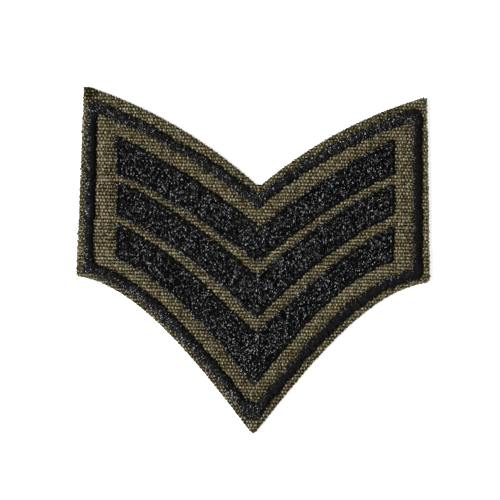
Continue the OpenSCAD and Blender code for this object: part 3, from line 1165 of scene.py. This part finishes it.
def fillRows(name, order):
    look = chevronFill
    rng = np.random.default_rng(look["seed"] + order)
    loop = edgingLines[order][0]
    startX, y, stitch, within = rowsAcross(rng, loop)
    rowCount = len(startX)

    def perStitch(spread):
        values = rng.normal(0, spread, (rowCount, stitch.max() + 1))
        return np.take_along_axis(values, stitch, 1)

    middle = (loop.min(0)[1] + loop.max(0)[1]) / 2
    shift = perStitch(look["wander"]) * np.sin(math.pi * within)
    x = startX + look["lean"] * (y - middle) + shift + rng.normal(0, look["rowShift"], (rowCount, 1))
    toFoot = np.minimum(within, 1 - within) * look["stitchLength"]
    dip = look["dip"] * np.exp(-((toFoot / look["dipReach"]) ** 2))
    arch = look["arch"] * np.sin(math.pi * within) * (1 + perStitch(look["archSpread"]))
    tilt = perStitch(look["tilt"]) * (within - 0.5) * 2
    plan = np.stack(np.broadcast_arrays(x, y), -1)
    inside = lookUp(chevronFields[order], plan)
    foot = np.clip((inside - look["tuck"]) / look["footReach"], 0, 1)
    foot = look["footShare"] + (1 - look["footShare"]) * foot
    level = layers["fillFoot"] + (look["height"] - look["halfHeight"]) * foot - dip + arch + tilt
    level = level + perStitch(look["unevenness"])
    path = np.concatenate([plan, level[..., None]], -1)
    path[..., [0, 2]] += rng.normal(0, look["jitter"], path[..., [0, 2]].shape)
    valid = inside > look["tuck"]
    linked = valid[:, :-1] & valid[:, 1:]
    across = np.broadcast_to(np.array([1.0, -look["lean"], 0.0]) / math.hypot(1, look["lean"]), path.shape)
    up = np.cross(across, unitTangents(path))
    halfWidth = look["halfWidth"] * (1 + perStitch(look["thicknessSpread"]))
    halfHeight = look["halfHeight"] * (1 + perStitch(look["thicknessSpread"]))
    stitchGlint = np.exp(perStitch(look["stitchGlint"]) - look["stitchGlint"] ** 2 / 2)
    # painted shade: glints fade where the rows sink towards the edging
    glint = threadGlints(rng, level.shape) * stitchGlint * foot**2
    startUv = rng.uniform(0, threadShape["anyStart"], rowCount)
    return threadTubes(name, path, across, up, halfWidth, halfHeight, glint, startUv, fillThread, linked)


fillPieces = [fillRows(chevron + "Fill", order) for order, chevron in enumerate(chevronNames)]

# Every piece rides on the patch and stands for its solid
for piece, node, slot in (
    (clothPiece, "ground_cloth", "canvas"),
    (warpPiece, "ground_cloth", "canvas"),
    (weftPiece, "ground_cloth", "canvas"),
    (borderPiece, "border_stitching", "border_thread"),
    (edgingPieces[0], "top_chevron_edging", "edging_thread"),
    (edgingPieces[1], "middle_chevron_edging", "edging_thread"),
    (edgingPieces[2], "bottom_chevron_edging", "edging_thread"),
    (fillPieces[0], "top_chevron", "fill_thread"),
    (fillPieces[1], "middle_chevron", "fill_thread"),
    (fillPieces[2], "bottom_chevron", "fill_thread"),
):
    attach(piece, "root")
    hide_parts(node)

print("pieces placed on the patch")

# Floor, light and camera, in metres and degrees
studio = {
    "floorSize": 3.0,
    "floorColour": (0.94, 0.94, 0.94),
    "floorGlow": 0.72,
    "world": 0.3,
    "keyPower": 20.0,
    "keySize": 0.34,
    "keyDistance": 1.3,
    "keyAzimuth": 188.0,
    "keyElevation": 57.0,
    "cameraDistance": 1.2,
    "filmWidth": 36.0,
    "frameWidth": 0.125,
    "cameraAim": (-0.00092, 0.00289),
    "cameraRoll": 1.323,
}


def addToScene(name, data):
    item = bpy.data.objects.new(name, data)
    bpy.context.scene.collection.objects.link(item)
    return item


def makeFloor():
    half = studio["floorSize"] / 2
    mesh = bpy.data.meshes.new("studioFloor")
    corners = [(-half, -half, 0), (half, -half, 0), (half, half, 0), (-half, half, 0)]
    mesh.from_pydata(corners, [], [(0, 1, 2, 3)])
    floor = addToScene("studioFloor", mesh)
    material, tree, shader = startMaterial("paleFloor", roughness=0.9, gloss=0.0)
    shader.inputs["Base Color"].default_value = (*studio["floorColour"], 1)
    shader.inputs["Emission Color"].default_value = (*studio["floorColour"], 1)
    shader.inputs["Emission Strength"].default_value = studio["floorGlow"]
    mesh.materials.append(material)


def makeLights():
    world = bpy.data.worlds.new("studioWorld")
    world.use_nodes = True
    background = world.node_tree.nodes["Background"]
    background.inputs[0].default_value = (1, 1, 1, 1)
    background.inputs[1].default_value = studio["world"]
    bpy.context.scene.world = world
    lamp = bpy.data.lights.new("keyLight", "AREA")
    lamp.energy = studio["keyPower"]
    lamp.shape = "SQUARE"
    lamp.size = studio["keySize"]
    light = addToScene("keyLight", lamp)
    azimuth, elevation = math.radians(studio["keyAzimuth"]), math.radians(studio["keyElevation"])
    distance = studio["keyDistance"]
    light.location = (
        distance * math.cos(elevation) * math.cos(azimuth),
        distance * math.cos(elevation) * math.sin(azimuth),
        distance * math.sin(elevation),
    )
    light.rotation_euler = (-light.location).to_track_quat("-Z", "Y").to_euler()


def makeCamera():
    # straight above the patch, turned a little as the photo is
    camera = bpy.data.cameras.new("camera")
    camera.sensor_width = studio["filmWidth"]
    camera.lens = studio["filmWidth"] * studio["cameraDistance"] / studio["frameWidth"]
    camera.clip_start, camera.clip_end = 0.05, 10
    eye = addToScene("camera", camera)
    eye.location = (*studio["cameraAim"], studio["cameraDistance"])
    eye.rotation_euler = (0, 0, math.radians(studio["cameraRoll"]))
    bpy.context.scene.camera = eye
    bpy.context.scene.view_settings.view_transform = "Standard"


makeFloor()
makeLights()
makeCamera()
print("studio set")
